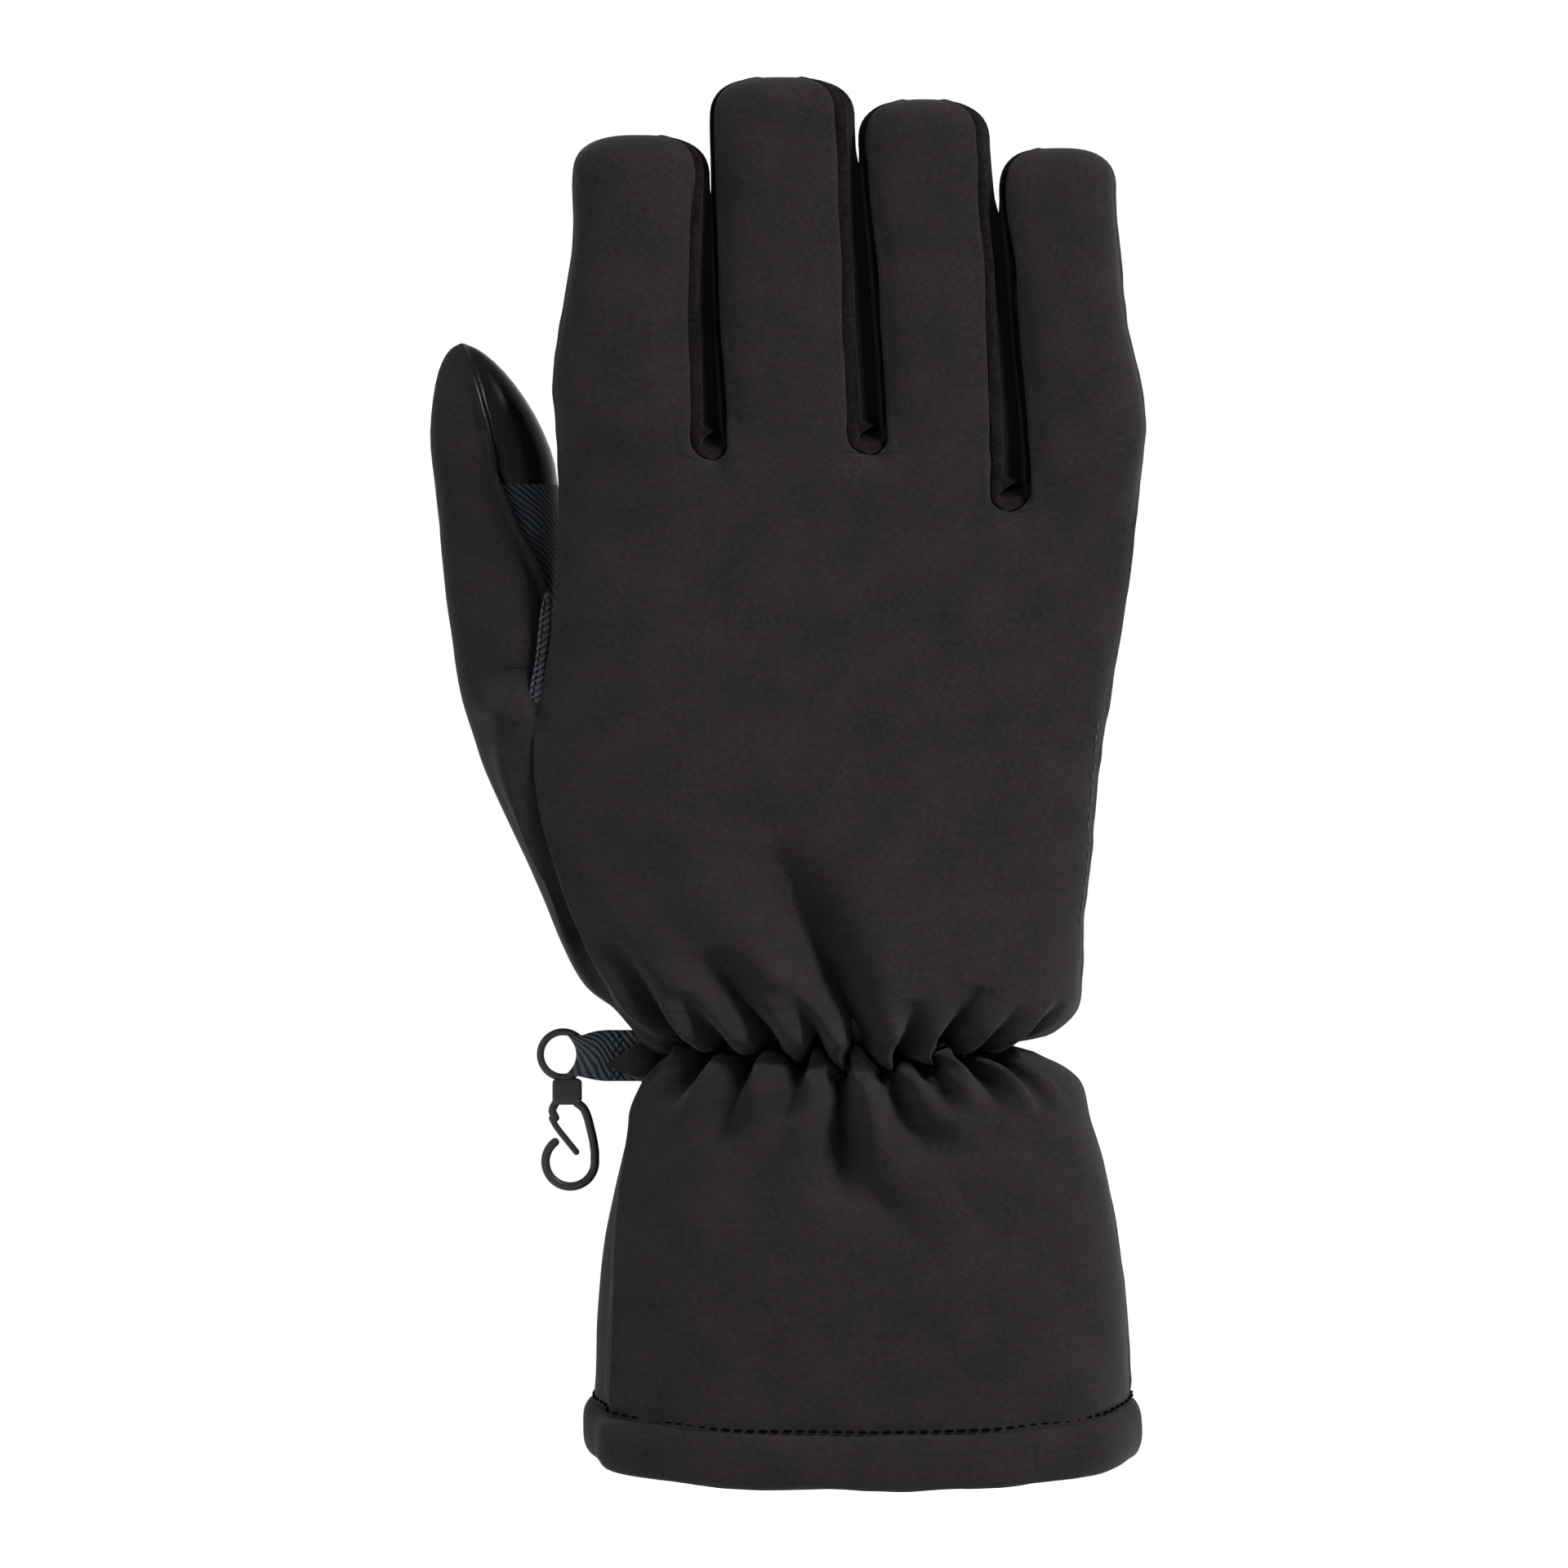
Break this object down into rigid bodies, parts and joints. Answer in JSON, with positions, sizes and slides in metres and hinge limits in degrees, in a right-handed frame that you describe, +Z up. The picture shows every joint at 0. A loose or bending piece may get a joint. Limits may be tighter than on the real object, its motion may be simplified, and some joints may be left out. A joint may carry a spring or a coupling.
{
  "type": "ski glove",
  "caption": "Padded right-hand softshell ski glove with jointed fingers and thumb, gathered elastic wrist, flared cuff with a turned hem, and a webbing strap with a plastic hook.",
  "frame": {"origin": "centre of the wrist, on the line of the wrist's elastic, midway between the back and the palm", "axes": "+Z up along the hand to the fingertips, +X across the hand to the little finger's side, +Y out of the palm"},
  "size_m": [0.1392, 0.0642, 0.2765],
  "materials": {
    "softshell": "matte charcoal softshell with a very fine weave",
    "ribbed_twill": "dark blue-grey, fine diagonal ribs",
    "smooth_leather": "smooth black synthetic leather, satin",
    "fleece": "dark brushed fleece",
    "elastic": "black woven elastic",
    "label_cloth": "blank off-white label cloth",
    "black_plastic": "black moulded plastic, slight gloss"
  },
  "bodies": {
    "hand": {"hand_back_panel": "softshell", "hand_palm_panel": "ribbed_twill", "palm_patch": "smooth_leather", "back_padding": "fleece", "hand_lining": "fleece", "thumb_web": "ribbed_twill", "index_middle_web": "softshell", "middle_ring_web": "softshell", "ring_little_web": "softshell", "wrist_gather_back": "softshell", "wrist_gather_palm": "softshell", "wrist_elastic": "elastic"},
    "cuff": {"cuff_back_panel": "softshell", "cuff_palm_panel": "softshell", "cuff_lining": "fleece", "hem_band": "softshell", "care_label": "label_cloth"},
    "index_near": {"index_near_back": "softshell", "index_near_palm": "ribbed_twill", "index_near_right_wall": "softshell", "index_lining": "fleece"},
    "index_tip": {"index_tip_back": "softshell", "index_tip_palm": "ribbed_twill", "index_tip_right_wall": "softshell"},
    "middle_near": {"middle_near_back": "softshell", "middle_near_palm": "ribbed_twill", "middle_near_left_wall": "softshell", "middle_near_right_wall": "softshell", "middle_lining": "fleece"},
    "middle_tip": {"middle_tip_back": "softshell", "middle_tip_palm": "ribbed_twill", "middle_tip_left_wall": "softshell", "middle_tip_right_wall": "softshell"},
    "ring_near": {"ring_near_back": "softshell", "ring_near_palm": "ribbed_twill", "ring_near_left_wall": "softshell", "ring_near_right_wall": "softshell", "ring_lining": "fleece"},
    "ring_tip": {"ring_tip_back": "softshell", "ring_tip_palm": "ribbed_twill", "ring_tip_left_wall": "softshell", "ring_tip_right_wall": "softshell"},
    "little_near": {"little_near_back": "softshell", "little_near_palm": "ribbed_twill", "little_near_left_wall": "softshell", "little_lining": "fleece"},
    "little_tip": {"little_tip_back": "softshell", "little_tip_palm": "ribbed_twill", "little_tip_left_wall": "softshell"},
    "thumb_near": {"thumb_near_back": "softshell", "thumb_near_pad": "ribbed_twill", "thumb_lining": "fleece"},
    "thumb_tip": {"thumb_tip_back": "softshell", "thumb_tip_pad": "smooth_leather"},
    "strap": {"strap": "ribbed_twill"},
    "hook": {"hook": "black_plastic"},
    "gate": {"gate": "black_plastic"}
  },
  "joints": [
    {"name": "wrist", "type": "hinge", "parent": "hand", "child": "cuff", "pos_m": [0, 0, 0], "axis": [1, 0, 0], "range_deg": [-40, 45], "stiffness_Nm_per_rad": 0.1, "deforming": ["wrist_gather_back", "wrist_gather_palm", "wrist_elastic", "hand_lining"]},
    {"name": "index_knuckle", "type": "hinge", "parent": "hand", "child": "index_near", "pos_m": [-0.04132, 0.002, 0.126], "axis": [-1, 0, 0], "range_deg": [-10, 85], "stiffness_Nm_per_rad": 0.05, "deforming": ["index_near_palm", "index_near_right_wall", "index_lining"]},
    {"name": "index_middle_joint", "type": "hinge", "parent": "index_near", "child": "index_tip", "pos_m": [-0.04056, 0.002, 0.153], "axis": [-1, 0, 0], "range_deg": [0, 95], "stiffness_Nm_per_rad": 0.03, "deforming": ["index_tip_palm", "index_tip_right_wall", "index_lining"]},
    {"name": "middle_knuckle", "type": "hinge", "parent": "hand", "child": "middle_near", "pos_m": [-0.01116, 0.002, 0.127], "axis": [-1, 0, 0], "range_deg": [-10, 85], "stiffness_Nm_per_rad": 0.05, "deforming": ["middle_near_palm", "middle_near_left_wall", "middle_near_right_wall", "middle_lining"]},
    {"name": "middle_middle_joint", "type": "hinge", "parent": "middle_near", "child": "middle_tip", "pos_m": [-0.01168, 0.002, 0.158], "axis": [-1, 0, 0], "range_deg": [0, 95], "stiffness_Nm_per_rad": 0.03, "deforming": ["middle_tip_palm", "middle_tip_left_wall", "middle_tip_right_wall", "middle_lining"]},
    {"name": "ring_knuckle", "type": "hinge", "parent": "hand", "child": "ring_near", "pos_m": [0.01774, 0.002, 0.127], "axis": [-1, 0, 0], "range_deg": [-10, 85], "stiffness_Nm_per_rad": 0.05, "deforming": ["ring_near_palm", "ring_near_left_wall", "ring_near_right_wall", "ring_lining"]},
    {"name": "ring_middle_joint", "type": "hinge", "parent": "ring_near", "child": "ring_tip", "pos_m": [0.01682, 0.002, 0.157], "axis": [-1, 0, 0], "range_deg": [0, 95], "stiffness_Nm_per_rad": 0.03, "deforming": ["ring_tip_palm", "ring_tip_left_wall", "ring_tip_right_wall", "ring_lining"]},
    {"name": "little_knuckle", "type": "hinge", "parent": "hand", "child": "little_near", "pos_m": [0.04512, 0.002, 0.116], "axis": [-1, 0, 0], "range_deg": [-10, 85], "stiffness_Nm_per_rad": 0.05, "deforming": ["little_near_palm", "little_near_left_wall", "little_lining"]},
    {"name": "little_middle_joint", "type": "hinge", "parent": "little_near", "child": "little_tip", "pos_m": [0.04356, 0.002, 0.144], "axis": [-1, 0, 0], "range_deg": [0, 95], "stiffness_Nm_per_rad": 0.03, "deforming": ["little_tip_palm", "little_tip_left_wall", "little_lining"]},
    {"name": "thumb_root", "type": "hinge", "parent": "hand", "child": "thumb_near", "pos_m": [-0.076, 0.017, 0.073], "axis": [0, -1, 0], "range_deg": [0, 40], "stiffness_Nm_per_rad": 0.05, "deforming": ["thumb_lining"]},
    {"name": "thumb_joint", "type": "hinge", "parent": "thumb_near", "child": "thumb_tip", "pos_m": [-0.0652, 0.0204, 0.104], "axis": [-0.45, 0.893, 0], "range_deg": [0, 60], "stiffness_Nm_per_rad": 0.03, "deforming": ["thumb_lining", "thumb_tip_pad"]},
    {"name": "strap_root", "type": "hinge", "parent": "hand", "child": "strap", "pos_m": [-0.0436, 0, 0], "axis": [0, 0, 1], "range_deg": [-70, 70], "stiffness_Nm_per_rad": 0.004},
    {"name": "hook_swing", "type": "hinge", "parent": "strap", "child": "hook", "pos_m": [-0.0548, 0, -0.0002], "axis": [0, 1, 0], "range_deg": [-3, 120]},
    {"name": "gate_hinge", "type": "hinge", "parent": "hook", "child": "gate", "pos_m": [-0.057, 0, -0.0124], "axis": [0, -1, 0], "range_deg": [0, 7], "stiffness_Nm_per_rad": 0.02}
  ]
}
